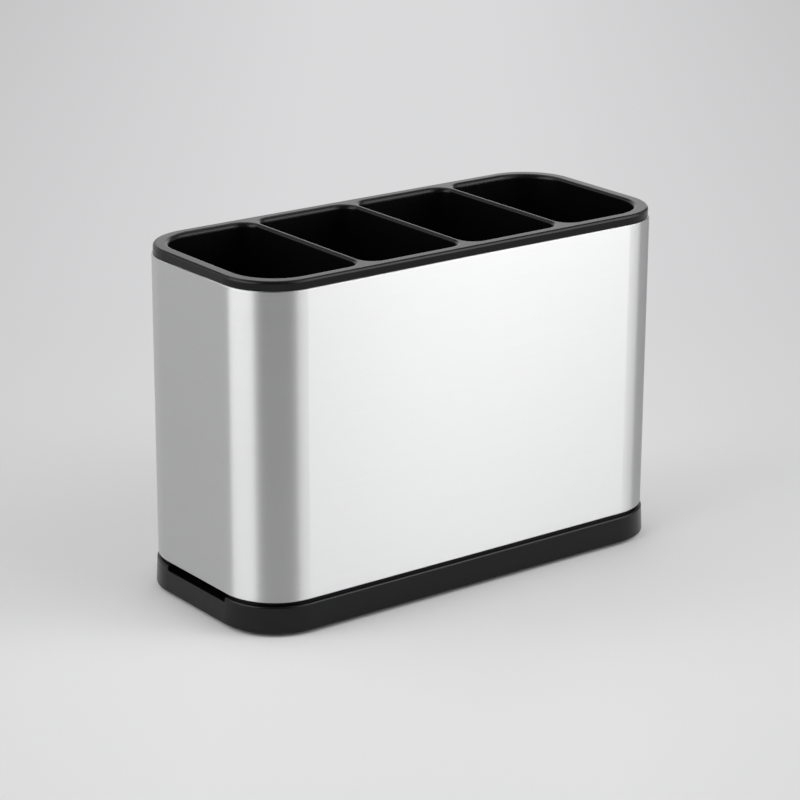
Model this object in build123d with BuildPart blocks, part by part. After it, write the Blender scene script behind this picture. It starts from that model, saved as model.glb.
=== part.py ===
"""Cutlery drainer: a brushed steel sleeve on a drip-tray base, with a lift-out insert of compartments.

Millimetres, +Z up. The origin is on the worktop, under the centre of the footprint. X runs along
the long side, and the front long face looks towards -Y. The base stands on four soft feet. The
sleeve drops over the base's upstand and stands on its seat ring, which leaves a shadow gap. The
insert hangs in the sleeve by its rim, and its floor drains into the base.
"""

import os
from math import cos, radians, sin, sqrt, tan

from build123d import *

os.makedirs("parts", exist_ok=True)

# Steel sleeve: a sheet bent round, with both ends folded inwards as a hem
sleeve_length = 230.0
sleeve_depth = 100.0
sleeve_corner = 26.0
sleeve_height = 139.45
sheet = 0.6
hem_height = 6.0
fold_share = 0.8

# Base tray: a drafted skirt and an inner tray wall, joined by the shoulder
foot_proud = 1.6
skirt_height = 12.4
skirt_top_proud = 0.5
skirt_foot_proud = 1.1
skirt_wall = 1.8
shoulder_thickness = 1.8
shoulder_round = 1.0
skirt_foot_round = 0.5
shadow_gap = 1.6
channel_width = 1.9
tray_wall = 1.8
tray_floor = 2.0
underside_recess = 2.0
tray_floor_round = 1.5
upstand_height = 9.0
upstand_wall = 1.6
upstand_lead_in = 0.5

# Seat ring: it carries the inner fold of the sleeve's lower hem, and is undercut to its foot
seat_undercut = 1.8

# Pour slots: a low notch through the shoulder and the upstand, across the flat of each short end
slot_margin = 1.0
slot_depth = 2.35
slot_corner = 0.8
slot_sill = 2.0
slot_round = 0.35

# Feet and their sockets under the tray floor
foot_diameter = 12.0
foot_round = 0.5
foot_inset_x = 26.0
foot_inset_y = 22.0
socket_wall = 1.4
socket_height = 1.1

# Insert: rim, compartments and floor
compartments = 4
divider = 3.0
rim_height = 4.25
rim_inset = 0.65
rim_end_width = 6.2
rim_side_width = 6.2
rim_round = 1.3
rim_foot_round = 0.4
aperture_corner = 21.0
divider_corner = 8.0
mouth_side_round = 2.1
mouth_end_round = 1.4
mouth_sections = 7
insert_wall = 1.8
insert_draft = 0.35
insert_floor = 2.0
floor_above_ground = 21.0
floor_round = 4.0
body_foot_round = 2.5

# Locating skirt below the rim, and the ribs that stiffen it
locating_skirt_height = 8.0
locating_skirt_wall = 1.6
rim_roof = 2.0
gusset = 1.2
gusset_drop = 1.5

# Drain slots in each floor, and the hollow cores in the dividers
drain_count = 5
drain_width = 3.4
drain_end_margin = 19.0
drain_side_margin = 10.25
core_width = 1.4
core_end_margin = 9.0
core_height = 90.0

# Fits between pieces
sleeve_fit = 0.4
rim_fit = 0.4
foot_fit = 0.1
cut_through = 1.0
weld_overlap = 0.5

# Levels worked out from the sizes above
skirt_z = foot_proud
shoulder_z = skirt_z + skirt_height
slot_z = shoulder_z - slot_depth
sleeve_z = shoulder_z + shadow_gap
sleeve_top_z = sleeve_z + sleeve_height
rim_top_z = sleeve_top_z + rim_height
pocket_top_z = rim_top_z - mouth_side_round
tray_underside_z = skirt_z + underside_recess
tray_floor_z = tray_underside_z + tray_floor
upstand_top_z = shoulder_z + upstand_height
body_z = floor_above_ground - insert_floor
skirt_bottom_z = sleeve_top_z - locating_skirt_height

# Straight length of the short ends, and of the slot across them
straight_depth = sleeve_depth - 2 * sleeve_corner
slot_length = straight_depth - 2 * slot_margin

# Insets from the sleeve's outer face worked out from the sizes above
hem_inset = 2 * sheet
upstand_inset = hem_inset + sleeve_fit
upstand_inner_inset = upstand_inset + upstand_wall
channel_outer_inset = skirt_wall - skirt_top_proud
tray_wall_inset = channel_outer_inset + channel_width
tray_inset = tray_wall_inset + tray_wall
locating_inset = hem_inset + rim_fit
groove_inset = locating_inset + locating_skirt_wall

# Compartment sizes worked out from the rim
inner_length = sleeve_length - 2 * (rim_inset + rim_end_width)
inner_depth = sleeve_depth - 2 * (rim_inset + rim_side_width)
compartment_width = (inner_length - (compartments - 1) * divider) / compartments
compartment_pitch = compartment_width + divider
drain_length = inner_depth - 2 * drain_end_margin
drain_pitch = (compartment_width - 2 * drain_side_margin) / (drain_count - 1)
draft_run = tan(radians(insert_draft))


def around_sleeve(inset, height):
    """The sleeve's outline at a height, set in by an inset, or out where the inset is negative."""
    with BuildSketch(Plane.XY.offset(height)) as outline:
        RectangleRounded(sleeve_length - 2 * inset, sleeve_depth - 2 * inset, sleeve_corner - inset)
    return outline.sketch


def ring_around_sleeve(outer_inset, inner_inset, height):
    """The band between two outlines of the sleeve at a height."""
    with BuildSketch(Plane.XY.offset(height)) as ring:
        add(around_sleeve(outer_inset, height))
        add(around_sleeve(inner_inset, height), mode=Mode.SUBTRACT)
    return ring.sketch


def compartment_outline(index, inset, side_inset, height):
    """One compartment's outline at a height, set in from its ends and sides; its end corners are large."""
    centre = (index - (compartments - 1) / 2) * compartment_pitch
    left = aperture_corner if index == 0 else divider_corner
    right = aperture_corner if index == compartments - 1 else divider_corner
    with BuildSketch(Plane.XY.offset(height)) as outline:
        with Locations((centre, 0)):
            Rectangle(compartment_width - 2 * inset, inner_depth - 2 * side_inset)
        fillet(outline.vertices().group_by(Axis.X)[0], left - inset)
        fillet(outline.vertices().group_by(Axis.X)[-1], right - inset)
    return outline.sketch


def insert_body_outline(height):
    """The outline of the walls round all the compartments, which the draft narrows downwards."""
    inset = (pocket_top_z - height) * draft_run - insert_wall
    with BuildSketch(Plane.XY.offset(height)) as outline:
        RectangleRounded(inner_length - 2 * inset, inner_depth - 2 * inset, aperture_corner - inset)
    return outline.sketch


def mouth_outlines(index):
    """Outlines of one compartment's rounded mouth from the top down, rounder on its long sides."""
    outlines = []
    for section in range(mouth_sections):
        tilt = radians(90 * section / (mouth_sections - 1))
        depth = mouth_side_round * (1 - cos(tilt))
        side_flare = mouth_side_round * (1 - sin(tilt))
        rise = max(mouth_end_round - depth, 0)
        end_flare = mouth_end_round - sqrt(mouth_end_round**2 - rise**2)
        outlines.append(compartment_outline(index, -end_flare, -side_flare, rim_top_z - depth))
    return outlines


# Hollow of the tray, with a rounded floor
with BuildPart() as tray_hollow:
    extrude(around_sleeve(tray_inset, tray_floor_z), amount=shoulder_z - tray_floor_z)
    fillet(tray_hollow.faces().sort_by(Axis.Z)[0].edges(), tray_floor_round)

# Seat ring under the hem, wide at its top and drawn in at its foot
with BuildPart() as seat_ring:
    loft([around_sleeve(sheet + seat_undercut, shoulder_z), around_sleeve(sheet, sleeve_z)])
    extrude(around_sleeve(upstand_inner_inset, shoulder_z), amount=shadow_gap, mode=Mode.SUBTRACT)

# Base tray
with BuildPart() as base_tray:
    loft([around_sleeve(-skirt_foot_proud, skirt_z), around_sleeve(-skirt_top_proud, shoulder_z)])
    fillet(base_tray.faces().sort_by(Axis.Z)[-1].edges(), shoulder_round)
    fillet(base_tray.faces().sort_by(Axis.Z)[0].edges(), skirt_foot_round)
    # Hollow under the tray floor, and the channel between the skirt and the tray wall
    extrude(around_sleeve(channel_outer_inset, skirt_z), amount=underside_recess, mode=Mode.SUBTRACT)
    extrude(
        ring_around_sleeve(channel_outer_inset, tray_wall_inset, skirt_z),
        amount=skirt_height - shoulder_thickness,
        mode=Mode.SUBTRACT,
    )
    # Upstand that the sleeve drops over, with a lead-in round its top
    upstand = ring_around_sleeve(upstand_inset, upstand_inner_inset, shoulder_z)
    extrude(upstand, amount=upstand_height)
    chamfer(base_tray.faces().sort_by(Axis.Z)[-1].outer_wire().edges(), upstand_lead_in)
    add(seat_ring.part)
    # Sill under each pour slot, which closes the channel there
    with BuildSketch(Plane.XY.offset(slot_z - slot_sill)):
        for end in (-1, 1):
            with Locations((end * (sleeve_length / 2 - (channel_outer_inset + tray_wall_inset) / 2), 0)):
                Rectangle(channel_width + 2 * weld_overlap, slot_length + 2 * slot_sill)
    extrude(amount=slot_depth + slot_sill - shoulder_thickness + weld_overlap)
    add(tray_hollow.part, mode=Mode.SUBTRACT)
    # Pour slot at each end, out from the tray over the sill, with its outer edges rounded
    slot_rise = upstand_top_z + cut_through + slot_corner - slot_z
    with BuildSketch(Plane.YZ):
        with Locations((0, slot_z + slot_rise / 2)):
            RectangleRounded(slot_length, slot_rise, slot_corner)
    extrude(amount=sleeve_length / 2 + skirt_foot_proud + cut_through, both=True, mode=Mode.SUBTRACT)
    at_slots = base_tray.edges().filter_by_position(Axis.Y, -slot_length / 2, slot_length / 2)
    at_slots = at_slots.filter_by_position(Axis.Z, slot_z, shoulder_z)
    for end in (-1, 1):
        outer_x = end * sleeve_length / 2
        proud_x = end * (sleeve_length / 2 + skirt_foot_proud)
        fillet(at_slots.filter_by_position(Axis.X, min(outer_x, proud_x), max(outer_x, proud_x)), slot_round)
    # Socket rings for the feet
    with BuildSketch(Plane.XY.offset(tray_underside_z - socket_height)):
        with GridLocations(sleeve_length - 2 * foot_inset_x, sleeve_depth - 2 * foot_inset_y, 2, 2):
            Circle(foot_diameter / 2 + foot_fit + socket_wall)
            Circle(foot_diameter / 2 + foot_fit, mode=Mode.SUBTRACT)
    extrude(amount=socket_height)
base_tray.part.label = "base_tray"
export_step(base_tray.part, "parts/base_tray.step")

# Feet, one soft disc in each socket
for row, y_side in (("front", -1), ("rear", 1)):
    for column, x_side in (("left", -1), ("right", 1)):
        with BuildPart() as foot:
            x_centre = x_side * (sleeve_length / 2 - foot_inset_x)
            y_centre = y_side * (sleeve_depth / 2 - foot_inset_y)
            with BuildSketch():
                with Locations((x_centre, y_centre)):
                    Circle(foot_diameter / 2)
            extrude(amount=tray_underside_z)
            fillet(foot.faces().sort_by(Axis.Z)[0].edges(), foot_round)
        foot.part.label = f"foot_{row}_{column}"
        export_step(foot.part, f"parts/foot_{row}_{column}.step")

# Steel sleeve
with BuildPart() as steel_sleeve:
    fold_round = fold_share * sheet
    extrude(around_sleeve(0, sleeve_z), amount=sleeve_height)
    extrude(around_sleeve(hem_inset, sleeve_z), amount=sleeve_height, mode=Mode.SUBTRACT)
    fillet(steel_sleeve.faces().sort_by(Axis.Z)[-1].edges(), fold_round)
    fillet(steel_sleeve.faces().sort_by(Axis.Z)[0].edges(), fold_round)
    extrude(
        around_sleeve(sheet, sleeve_z + hem_height),
        amount=sleeve_height - 2 * hem_height,
        mode=Mode.SUBTRACT,
    )
steel_sleeve.part.label = "steel_sleeve"
export_step(steel_sleeve.part, "parts/steel_sleeve.step")

# Hollow of each compartment: a rounded mouth over a drafted pocket with a rounded floor
hollows = []
for index in range(compartments):
    floor_run = (pocket_top_z - floor_above_ground) * draft_run
    pocket_floor = compartment_outline(index, floor_run, floor_run, floor_above_ground)
    mouth = mouth_outlines(index)
    with BuildPart() as hollow:
        loft([pocket_floor, mouth[-1]])
        fillet(hollow.faces().sort_by(Axis.Z)[0].edges(), floor_round)
        loft(mouth, ruled=True)
        extrude(mouth[0], amount=cut_through)
    hollows.append(hollow.part)

# Drafted body that holds the compartments, with hollow cores in its dividers
with BuildPart() as body:
    loft([insert_body_outline(body_z), insert_body_outline(rim_top_z - rim_roof)])
    fillet(body.faces().sort_by(Axis.Z)[0].edges(), body_foot_round)
    with BuildSketch(Plane.XY.offset(body_z)):
        with GridLocations(compartment_pitch, 0, compartments - 1, 1):
            SlotOverall(inner_depth - 2 * core_end_margin, core_width, rotation=90)
    extrude(amount=core_height, mode=Mode.SUBTRACT)

# Insert
with BuildPart() as insert:
    extrude(around_sleeve(rim_inset, sleeve_top_z), amount=rim_height)
    fillet(insert.faces().sort_by(Axis.Z)[-1].edges(), rim_round)
    fillet(insert.faces().sort_by(Axis.Z)[0].edges(), rim_foot_round)
    # Locating skirt inside the sleeve's upper hem, and the groove between it and the body
    extrude(
        ring_around_sleeve(locating_inset, groove_inset, skirt_bottom_z),
        amount=locating_skirt_height + rim_foot_round,
    )
    extrude(around_sleeve(groove_inset, sleeve_top_z), amount=rim_height - rim_roof, mode=Mode.SUBTRACT)
    # Gussets that brace the skirt, across each long side at every compartment and at both ends
    with BuildSketch(Plane.XY.offset(skirt_bottom_z + gusset_drop)):
        with GridLocations(compartment_pitch, 0, compartments, 1):
            Rectangle(gusset, sleeve_depth - 2 * groove_inset + 2 * weld_overlap)
        Rectangle(sleeve_length - 2 * groove_inset + 2 * weld_overlap, gusset)
    extrude(amount=rim_top_z - rim_roof - skirt_bottom_z - gusset_drop)
    add(body.part)
    for hollow_part in hollows:
        add(hollow_part, mode=Mode.SUBTRACT)
    # Drain slots through every floor
    with BuildSketch(Plane.XY.offset(body_z)):
        with GridLocations(compartment_pitch, 0, compartments, 1):
            with GridLocations(drain_pitch, 0, drain_count, 1):
                SlotOverall(drain_length, drain_width, rotation=90)
    extrude(amount=insert_floor, mode=Mode.SUBTRACT)
insert.part.label = "insert"
export_step(insert.part, "parts/insert.step")
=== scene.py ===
"""Cutlery drainer: the finishes of its pieces, and its studio and camera, in metres with +Z up.

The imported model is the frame. Each operator finishes one piece or one group of like pieces, and one
operator lays out the studio. The file is laid out as an add-on and is run as a script.
"""

from math import cos, pi, radians, sin
from typing import NamedTuple

import bpy
from bpy.props import FloatProperty, FloatVectorProperty, PointerProperty
from mathutils import Matrix, Vector


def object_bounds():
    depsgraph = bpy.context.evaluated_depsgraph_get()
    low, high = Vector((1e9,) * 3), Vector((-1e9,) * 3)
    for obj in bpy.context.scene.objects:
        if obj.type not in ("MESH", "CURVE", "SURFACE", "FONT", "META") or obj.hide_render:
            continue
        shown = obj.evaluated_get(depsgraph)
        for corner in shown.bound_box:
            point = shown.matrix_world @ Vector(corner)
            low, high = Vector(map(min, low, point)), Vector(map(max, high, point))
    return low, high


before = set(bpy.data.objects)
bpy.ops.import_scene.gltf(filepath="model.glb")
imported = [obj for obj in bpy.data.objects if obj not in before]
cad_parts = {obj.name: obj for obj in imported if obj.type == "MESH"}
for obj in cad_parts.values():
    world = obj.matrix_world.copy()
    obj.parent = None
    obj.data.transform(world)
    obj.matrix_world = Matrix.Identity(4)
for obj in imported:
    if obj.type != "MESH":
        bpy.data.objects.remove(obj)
cad_low, cad_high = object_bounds()

bl_info = {
    "name": "Cutlery Drainer",
    "version": (1, 0, 0),
    "blender": (4, 5, 0),
    "location": "3D View > Sidebar > Drainer",
    "description": "Steel, plastic and rubber finishes for a cutlery drainer, and its studio",
    "category": "Material",
}

MILLIMETRE = 0.001

# The sensor that the lens is stated for
SENSOR_WIDTH = 36.0

# Noise seldom leaves this band round its middle
NOISE_LOW = 0.3
NOISE_HIGH = 0.7

# A quarter turn of the tangent, in turns, so that the sheet blurs reflections across its strokes
ACROSS_STROKES = 0.25

# How far the roughness strays from its mean, and the share of the colour that the darkest grain keeps
STEEL_VARIATION = 0.01
PLASTIC_VARIATION = 0.02
RUBBER_VARIATION = 0.06
PLASTIC_SHADE = 0.75
RUBBER_SHADE = 0.7

# Spacing of the sheen that hands leave on plastic, and of the rubber's grain and its depth
HANDLING_SIZE = 35 * MILLIMETRE
GRAIN_SIZE = 0.3 * MILLIMETRE
GRAIN_DEPTH = 0.02 * MILLIMETRE

# The floor is matt paper, and turns into a plain backdrop between these distances from the middle
FLOOR_ROUGHNESS = 0.85
FLOOR_GLOSS = 0.2
BACKDROP_START = 0.14
BACKDROP_END = 0.5

# Painted shade: the floor's colour darkens to this share between these distances from its middle
# line, for light that falls off towards the sides
PAINTED_SIDE_SHADE = 0.8
PAINTED_SHADE_START = 0.08
PAINTED_SHADE_END = 0.4


class Softbox(NamedTuple):
    """A soft rectangular lamp: where it stands round the object, its size and its brightness."""

    name: str
    azimuth: float
    elevation: float
    distance: float
    width: float
    height: float
    brightness: float


# Azimuth 0 is in front of the long face, 90 off its right end; angles in degrees, sizes in metres
SOFTBOXES = (
    Softbox("key_low", 38, 14, 1.0, 1.2, 0.4, 2.1),
    Softbox("key_mid", 38, 38, 1.0, 1.2, 0.4, 1.65),
    Softbox("core_low", 40, 16, 0.98, 0.3, 0.4, 1.55),
    Softbox("core_mid", 40, 40, 0.98, 0.3, 0.4, 2.4),
    Softbox("key_high", 40, 65, 0.95, 0.6, 0.5, 0.7),
    Softbox("left_low", -97, 14, 1.0, 0.9, 0.4, 2.65),
    Softbox("left_mid", -97, 38, 1.0, 0.9, 0.4, 2.6),
    Softbox("rear_left", -140, 40, 1.0, 0.5, 0.6, 0.5),
    Softbox("sweep_left", -143, 15, 1.15, 0.8, 0.6, 0.55),
    Softbox("sweep_back", 180, 15, 1.2, 0.9, 0.6, 0.6),
    Softbox("sweep_right", 137, 15, 1.15, 0.8, 0.6, 0.95),
    Softbox("right", 85, 26, 1.0, 0.5, 0.9, 0.3),
    Softbox("rear_high", 170, 60, 1.2, 1.4, 0.6, 0.7),
)


class SteelSettings(bpy.types.PropertyGroup):
    """Brushed steel sheet of the sleeve"""

    colour: FloatVectorProperty(
        name="Steel colour",
        description="What the brushed sheet reflects, on its darker strokes",
        subtype="COLOR",
        size=3,
        min=0.0,
        max=1.0,
        default=(0.655, 0.657, 0.66),
    )
    bright_colour: FloatVectorProperty(
        name="Bright stroke colour",
        description="What the brushed sheet reflects, on its brighter strokes",
        subtype="COLOR",
        size=3,
        min=0.0,
        max=1.0,
        default=(0.675, 0.677, 0.68),
    )
    roughness: FloatProperty(
        name="Roughness",
        description="Mean roughness of the brushed sheet",
        subtype="FACTOR",
        min=0.0,
        max=1.0,
        default=0.42,
    )
    brushing: FloatProperty(
        name="Brushing",
        description="How much more the strokes blur a reflection across them than along them",
        subtype="FACTOR",
        min=0.0,
        max=1.0,
        default=1.0,
    )
    stroke_length: FloatProperty(
        name="Stroke length",
        description="Length of one brush stroke round the sleeve",
        unit="LENGTH",
        min=0.001,
        default=0.045,
    )
    stroke_width: FloatProperty(
        name="Stroke width",
        description="Height of one brush stroke",
        unit="LENGTH",
        min=0.00005,
        default=0.00022,
    )
    stroke_depth: FloatProperty(
        name="Stroke depth",
        description="Depth of one brush stroke",
        unit="LENGTH",
        min=0.0,
        default=0.0000004,
    )


class PlasticSettings(bpy.types.PropertyGroup):
    """Moulded black plastic"""

    colour: FloatVectorProperty(
        name="Plastic colour",
        description="Colour of the moulded plastic",
        subtype="COLOR",
        size=3,
        min=0.0,
        max=1.0,
        default=(0.0025, 0.0025, 0.0027),
    )
    roughness: FloatProperty(
        name="Roughness",
        description="Mean roughness of the moulded surface",
        subtype="FACTOR",
        min=0.0,
        max=1.0,
        default=0.25,
    )
    index: FloatProperty(
        name="Refractive index",
        description="How strongly the surface mirrors what it faces; 1.5 is polished plastic",
        min=1.0,
        max=2.5,
        default=1.35,
    )
    texture_size: FloatProperty(
        name="Texture size",
        description="Spacing of the fine pits that the mould leaves",
        unit="LENGTH",
        min=0.00005,
        default=0.0004,
    )
    texture_depth: FloatProperty(
        name="Texture depth",
        description="Depth of the fine pits that the mould leaves",
        unit="LENGTH",
        min=0.0,
        default=0.00001,
    )


class RubberSettings(bpy.types.PropertyGroup):
    """Soft rubber of the feet"""

    colour: FloatVectorProperty(
        name="Rubber colour",
        description="Colour of the feet",
        subtype="COLOR",
        size=3,
        min=0.0,
        max=1.0,
        default=(0.03, 0.03, 0.03),
    )
    roughness: FloatProperty(
        name="Roughness",
        description="Mean roughness of the rubber",
        subtype="FACTOR",
        min=0.0,
        max=1.0,
        default=0.78,
    )


class StudioSettings(bpy.types.PropertyGroup):
    """Floor, light and camera of the studio"""

    floor_colour: FloatVectorProperty(
        name="Floor colour",
        description="Colour of the floor round the object",
        subtype="COLOR",
        size=3,
        min=0.0,
        max=1.0,
        default=(0.80, 0.80, 0.805),
    )
    far_floor_colour: FloatVectorProperty(
        name="Far floor colour",
        description="Colour of the floor away from the object",
        subtype="COLOR",
        size=3,
        min=0.0,
        max=1.0,
        default=(0.70, 0.70, 0.71),
    )
    # Which way the painted side shade runs: the floor's colour darkens towards both sides of this
    # line
    side_shade_azimuth: FloatProperty(
        name="Sweep azimuth",
        description="Which way the paper sweep runs; it is a little darker towards both edges",
        subtype="ANGLE",
        default=radians(-37.0),
    )
    room_colour: FloatVectorProperty(
        name="Room colour",
        description="Colour of the room round the studio",
        subtype="COLOR",
        size=3,
        min=0.0,
        max=1.0,
        default=(0.2, 0.2, 0.2),
    )
    floor_radius: FloatProperty(
        name="Floor radius",
        description="Radius of the floor",
        unit="LENGTH",
        min=0.5,
        default=8.0,
    )
    camera_azimuth: FloatProperty(
        name="Camera azimuth",
        description="Where the camera stands: 0 in front of the long face, 90 off the right end",
        subtype="ANGLE",
        default=radians(-36.94),
    )
    camera_elevation: FloatProperty(
        name="Camera elevation",
        description="How far above the horizon the camera stands",
        subtype="ANGLE",
        default=radians(18.317),
    )
    camera_distance: FloatProperty(
        name="Camera distance",
        description="Distance from the camera to the point it aims at",
        unit="LENGTH",
        min=0.1,
        default=1.2889,
    )
    camera_roll: FloatProperty(
        name="Camera roll",
        description="Turn of the camera about its line of sight",
        subtype="ANGLE",
        default=radians(0.26),
    )
    aim_height: FloatProperty(
        name="Aim height",
        description="Height of the point that the camera aims at, over the floor",
        unit="LENGTH",
        default=0.0766,
    )
    framing: FloatVectorProperty(
        name="Framing",
        description="How far the camera stands to its right and up from that line",
        subtype="TRANSLATION",
        size=2,
        default=(-0.00268, -0.00101),
    )
    focal_length: FloatProperty(
        name="Focal length",
        description="Focal length of the lens in millimetres",
        subtype="DISTANCE_CAMERA",
        min=1.0,
        default=126.89,
    )


class DrainerSettings(bpy.types.PropertyGroup):
    """Everything that a user would change on the drainer and its studio"""

    steel: PointerProperty(name="Sleeve", description="Brushed steel sheet", type=SteelSettings)
    insert: PointerProperty(name="Insert", description="Moulded plastic", type=PlasticSettings)
    tray: PointerProperty(name="Base tray", description="Moulded plastic", type=PlasticSettings)
    feet: PointerProperty(name="Feet", description="Soft rubber", type=RubberSettings)
    studio: PointerProperty(name="Studio", description="Floor and camera", type=StudioSettings)


def new_material(name):
    """A material that holds a Principled shader and its output."""
    material = bpy.data.materials.new(name)
    material.use_nodes = True
    tree = material.node_tree
    tree.nodes.clear()
    shader = tree.nodes.new("ShaderNodeBsdfPrincipled")
    output = tree.nodes.new("ShaderNodeOutputMaterial")
    tree.links.new(shader.outputs["BSDF"], output.inputs["Surface"])
    return material, tree, shader


def noise(tree, spacing, detail):
    """Noise on the object's own coordinates, with its spacing along X, Y and Z in metres."""
    place = tree.nodes.new("ShaderNodeTexCoord")
    stretch = tree.nodes.new("ShaderNodeMapping")
    stretch.inputs["Scale"].default_value = [1 / distance for distance in spacing]
    pattern = tree.nodes.new("ShaderNodeTexNoise")
    pattern.inputs["Scale"].default_value = 1.0
    pattern.inputs["Detail"].default_value = detail
    tree.links.new(place.outputs["Object"], stretch.inputs["Vector"])
    tree.links.new(stretch.outputs["Vector"], pattern.inputs["Vector"])
    return pattern.outputs["Fac"]


def spread(tree, value, low, high, from_low=NOISE_LOW, from_high=NOISE_HIGH):
    """The value, spread from its own band to one between low and high."""
    node = tree.nodes.new("ShaderNodeMapRange")
    node.inputs["From Min"].default_value = from_low
    node.inputs["From Max"].default_value = from_high
    node.inputs["To Min"].default_value = low
    node.inputs["To Max"].default_value = high
    tree.links.new(value, node.inputs["Value"])
    return node.outputs["Result"]


def blend_colours(tree, factor, first, second):
    """A colour that runs from the first to the second as the factor goes from 0 to 1."""
    node = tree.nodes.new("ShaderNodeMix")
    node.data_type = "RGBA"
    sockets = {socket.identifier: socket for socket in (*node.inputs, *node.outputs)}
    sockets["A_Color"].default_value = (*first, 1.0)
    sockets["B_Color"].default_value = (*second, 1.0)
    tree.links.new(factor, sockets["Factor_Float"])
    return sockets["Result_Color"]


def calculate(tree, operation, first, second):
    """The result of a sum on two values."""
    node = tree.nodes.new("ShaderNodeMath")
    node.operation = operation
    tree.links.new(first, node.inputs[0])
    tree.links.new(second, node.inputs[1])
    return node.outputs["Value"]


def add_relief(tree, shader, height, depth):
    """Relief of the given depth in metres, over any that the shader has already."""
    bump = tree.nodes.new("ShaderNodeBump")
    bump.inputs["Distance"].default_value = depth
    tree.links.new(height, bump.inputs["Height"])
    if shader.inputs["Normal"].is_linked:
        tree.links.new(shader.inputs["Normal"].links[0].from_socket, bump.inputs["Normal"])
    tree.links.new(bump.outputs["Normal"], shader.inputs["Normal"])


def finish_node(name, material):
    """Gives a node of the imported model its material."""
    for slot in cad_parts[name].material_slots:
        slot.material = material


def brushed_steel(settings):
    """Stainless sheet with horizontal brush strokes round the sleeve."""
    material, tree, shader = new_material("brushed_steel")
    shader.inputs["Metallic"].default_value = 1.0
    shader.inputs["Anisotropic"].default_value = settings.brushing
    shader.inputs["Anisotropic Rotation"].default_value = ACROSS_STROKES
    tangent = tree.nodes.new("ShaderNodeTangent")
    tangent.direction_type = "RADIAL"
    tangent.axis = "Z"
    tree.links.new(tangent.outputs["Tangent"], shader.inputs["Tangent"])

    length = settings.stroke_length
    width = settings.stroke_width
    strokes = noise(tree, (length, length, width), detail=3.0)
    broad = noise(tree, (3 * length, 3 * length, 9 * width), detail=2.0)
    factor = spread(tree, strokes, 0.0, 1.0)
    colour = blend_colours(tree, factor, settings.colour, settings.bright_colour)
    tree.links.new(colour, shader.inputs["Base Color"])
    low, high = settings.roughness - STEEL_VARIATION, settings.roughness + STEEL_VARIATION
    tree.links.new(spread(tree, broad, low, high), shader.inputs["Roughness"])
    add_relief(tree, shader, strokes, settings.stroke_depth)
    return material


def moulded_plastic(name, settings):
    """Black plastic with the fine texture of its mould and a faint sheen from handling."""
    material, tree, shader = new_material(name)
    shader.inputs["IOR"].default_value = settings.index
    pits = noise(tree, [settings.texture_size] * 3, detail=3.0)
    handling = noise(tree, [HANDLING_SIZE] * 3, detail=4.0)
    darker = [PLASTIC_SHADE * channel for channel in settings.colour]
    colour = blend_colours(tree, spread(tree, pits, 0.0, 1.0), darker, settings.colour)
    tree.links.new(colour, shader.inputs["Base Color"])
    low, high = settings.roughness - PLASTIC_VARIATION, settings.roughness + PLASTIC_VARIATION
    tree.links.new(spread(tree, handling, low, high), shader.inputs["Roughness"])
    add_relief(tree, shader, pits, settings.texture_depth)
    return material


def rubber(settings):
    """Soft matt rubber with a fine grain."""
    material, tree, shader = new_material("foot_rubber_matt")
    grain = noise(tree, [GRAIN_SIZE] * 3, detail=3.0)
    darker = [RUBBER_SHADE * channel for channel in settings.colour]
    colour = blend_colours(tree, spread(tree, grain, 0.0, 1.0), darker, settings.colour)
    tree.links.new(colour, shader.inputs["Base Color"])
    low, high = settings.roughness - RUBBER_VARIATION, settings.roughness + RUBBER_VARIATION
    tree.links.new(spread(tree, grain, low, high), shader.inputs["Roughness"])
    add_relief(tree, shader, grain, GRAIN_DEPTH)
    return material


class DRAINER_OT_steel_sleeve(bpy.types.Operator):
    """Finish the sleeve in brushed steel"""

    bl_idname = "drainer.steel_sleeve"
    bl_label = "Steel Sleeve"

    def execute(self, context):
        finish_node("steel_sleeve", brushed_steel(context.scene.drainer.steel))
        return {"FINISHED"}


class DRAINER_OT_insert(bpy.types.Operator):
    """Finish the compartment insert in moulded plastic"""

    bl_idname = "drainer.insert"
    bl_label = "Compartment Insert"

    def execute(self, context):
        finish_node("insert", moulded_plastic("satin_plastic", context.scene.drainer.insert))
        return {"FINISHED"}


class DRAINER_OT_base_tray(bpy.types.Operator):
    """Finish the base tray in moulded plastic"""

    bl_idname = "drainer.base_tray"
    bl_label = "Base Tray"

    def execute(self, context):
        finish_node("base_tray", moulded_plastic("matt_plastic", context.scene.drainer.tray))
        return {"FINISHED"}


class DRAINER_OT_feet(bpy.types.Operator):
    """Finish the four feet in rubber"""

    bl_idname = "drainer.feet"
    bl_label = "Feet"

    def execute(self, context):
        material = rubber(context.scene.drainer.feet)
        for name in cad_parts:
            if name.startswith("foot_"):
                finish_node(name, material)
        return {"FINISHED"}


def direction(azimuth, elevation):
    """The way from the object to something that stands round it."""
    return Vector((sin(azimuth) * cos(elevation), -cos(azimuth) * cos(elevation), sin(elevation)))


def across_shade_line(tree, place, settings):
    """How far a point of the floor lies from the middle line of the painted side shade."""
    turn = tree.nodes.new("ShaderNodeMapping")
    turn.inputs["Rotation"].default_value = (0.0, 0.0, -settings.side_shade_azimuth)
    parts = tree.nodes.new("ShaderNodeSeparateXYZ")
    distance = tree.nodes.new("ShaderNodeMath")
    distance.operation = "ABSOLUTE"
    tree.links.new(place, turn.inputs["Vector"])
    tree.links.new(turn.outputs["Vector"], parts.inputs["Vector"])
    tree.links.new(parts.outputs["X"], distance.inputs[0])
    return distance.outputs["Value"]


def paint_side_shade(tree, across, colour):
    """A floor colour with painted shade that darkens it towards both sides, for light that falls off
    there.
    """
    darker = [PAINTED_SIDE_SHADE * channel for channel in colour]
    return blend_colours(tree, spread(tree, across, 0.0, 1.0, PAINTED_SHADE_START, PAINTED_SHADE_END), colour, darker)


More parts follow.
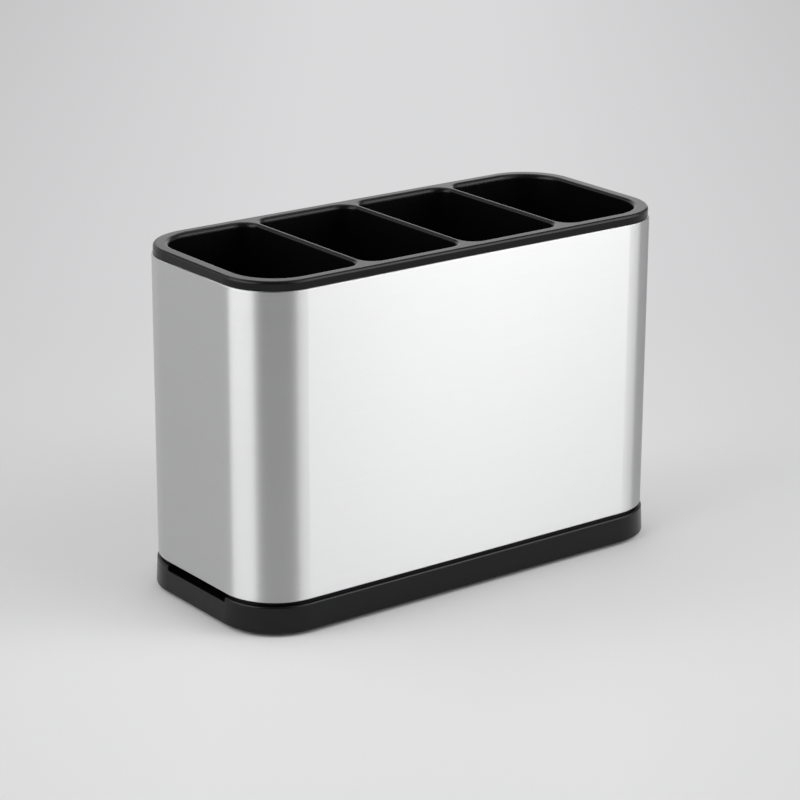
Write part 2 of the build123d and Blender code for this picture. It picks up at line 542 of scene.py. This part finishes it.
def lay_floor(settings):
    """A wide pale floor under the object, which turns into a plain backdrop away from it."""
    bpy.ops.mesh.primitive_circle_add(vertices=128, radius=settings.floor_radius, fill_type="NGON")
    floor = bpy.context.object
    floor.name = "studio_floor"
    material, tree, shader = new_material("pale_floor")
    shader.inputs["Roughness"].default_value = FLOOR_ROUGHNESS
    shader.inputs["Specular IOR Level"].default_value = FLOOR_GLOSS
    place = tree.nodes.new("ShaderNodeTexCoord")
    reach = tree.nodes.new("ShaderNodeVectorMath")
    reach.operation = "LENGTH"
    tree.links.new(place.outputs["Object"], reach.inputs[0])
    far = spread(tree, reach.outputs["Value"], 0.0, 1.0, BACKDROP_START, BACKDROP_END)
    across = across_shade_line(tree, place.outputs["Object"], settings)
    # Painted shade: the lit floor and the plain backdrop both darken towards the sides
    tree.links.new(paint_side_shade(tree, across, settings.floor_colour), shader.inputs["Base Color"])
    backdrop = tree.nodes.new("ShaderNodeEmission")
    tree.links.new(paint_side_shade(tree, across, settings.far_floor_colour), backdrop.inputs["Color"])
    rays = tree.nodes.new("ShaderNodeLightPath")
    seen = rays.outputs["Is Camera Ray"]
    for other in ("Is Glossy Ray", "Is Transmission Ray"):
        seen = calculate(tree, "MAXIMUM", seen, rays.outputs[other])
    mix = tree.nodes.new("ShaderNodeMixShader")
    tree.links.new(calculate(tree, "MULTIPLY", far, seen), mix.inputs["Fac"])
    tree.links.new(shader.outputs["BSDF"], mix.inputs[1])
    tree.links.new(backdrop.outputs["Emission"], mix.inputs[2])
    output = next(node for node in tree.nodes if node.type == "OUTPUT_MATERIAL")
    tree.links.new(mix.outputs["Shader"], output.inputs["Surface"])
    floor.data.materials.append(material)


def hang_softbox(softbox):
    """A rectangular lamp aimed at the middle of the object; its brightness is its radiance."""
    bpy.ops.object.light_add(type="AREA")
    lamp = bpy.context.object
    lamp.name = softbox.name
    lamp.data.name = softbox.name
    lamp.data.shape = "RECTANGLE"
    lamp.data.size = softbox.width
    lamp.data.size_y = softbox.height
    lamp.data.energy = softbox.brightness * pi * softbox.width * softbox.height
    middle = (cad_low + cad_high) / 2
    way = direction(radians(softbox.azimuth), radians(softbox.elevation))
    lamp.matrix_world = Matrix.Translation(middle + way * softbox.distance) @ way.to_track_quat(
        "Z", "Y"
    ).to_matrix().to_4x4()
    lamp.visible_camera = False


def light_room(settings):
    """An even grey room, which lights the object softly from all sides."""
    world = bpy.data.worlds.new("studio_room")
    bpy.context.scene.world = world
    world.use_nodes = True
    background = world.node_tree.nodes["Background"]
    background.inputs["Color"].default_value = (*settings.room_colour, 1.0)


def place_camera(settings):
    """The camera that the photograph was taken with."""
    back = direction(settings.camera_azimuth, settings.camera_elevation)
    right = Vector((cos(settings.camera_azimuth), sin(settings.camera_azimuth), 0.0))
    up = back.cross(right)
    aim = Vector((0.0, 0.0, settings.aim_height))
    place = aim + back * settings.camera_distance
    place += right * settings.framing[0] + up * settings.framing[1]
    level = Matrix((right, up, back)).transposed()
    turn = level @ Matrix.Rotation(settings.camera_roll, 3, "Z")
    bpy.ops.object.camera_add()
    camera = bpy.context.object
    camera.name = "photo_camera"
    camera.matrix_world = Matrix.Translation(place) @ turn.to_4x4()
    camera.data.sensor_width = SENSOR_WIDTH
    camera.data.lens = settings.focal_length
    camera.data.clip_start = 0.01
    camera.data.clip_end = 100.0
    bpy.context.scene.camera = camera


class DRAINER_OT_studio(bpy.types.Operator):
    """Lay the pale floor, hang the soft lamps and place the camera"""

    bl_idname = "drainer.studio"
    bl_label = "Studio"

    def execute(self, context):
        settings = context.scene.drainer.studio
        bpy.ops.object.select_all(action="DESELECT")
        lay_floor(settings)
        for softbox in SOFTBOXES:
            hang_softbox(softbox)
        light_room(settings)
        place_camera(settings)
        context.scene.view_settings.view_transform = "Standard"
        return {"FINISHED"}


class DRAINER_PT_panel(bpy.types.Panel):
    """Lists the drainer's pieces, their finishes and the studio"""

    bl_idname = "DRAINER_PT_panel"
    bl_label = "Cutlery Drainer"
    bl_space_type = "VIEW_3D"
    bl_region_type = "UI"
    bl_category = "Drainer"

    def draw(self, context):
        drainer = context.scene.drainer
        sections = (
            (DRAINER_OT_steel_sleeve, drainer.steel),
            (DRAINER_OT_insert, drainer.insert),
            (DRAINER_OT_base_tray, drainer.tray),
            (DRAINER_OT_feet, drainer.feet),
            (DRAINER_OT_studio, drainer.studio),
        )
        for operator, settings in sections:
            box = self.layout.box()
            box.operator(operator.bl_idname)
            for name in settings.__annotations__:
                box.prop(settings, name)


CLASSES = (
    SteelSettings,
    PlasticSettings,
    RubberSettings,
    StudioSettings,
    DrainerSettings,
    DRAINER_OT_steel_sleeve,
    DRAINER_OT_insert,
    DRAINER_OT_base_tray,
    DRAINER_OT_feet,
    DRAINER_OT_studio,
    DRAINER_PT_panel,
)


def register():
    for cls in CLASSES:
        bpy.utils.register_class(cls)
    bpy.types.Scene.drainer = PointerProperty(type=DrainerSettings)


def unregister():
    del bpy.types.Scene.drainer
    for cls in reversed(CLASSES):
        bpy.utils.unregister_class(cls)


def main():
    """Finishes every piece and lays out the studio."""
    register()
    bpy.ops.drainer.steel_sleeve()
    bpy.ops.drainer.insert()
    bpy.ops.drainer.base_tray()
    bpy.ops.drainer.feet()
    bpy.ops.drainer.studio()


if __name__ == "__main__":
    main()
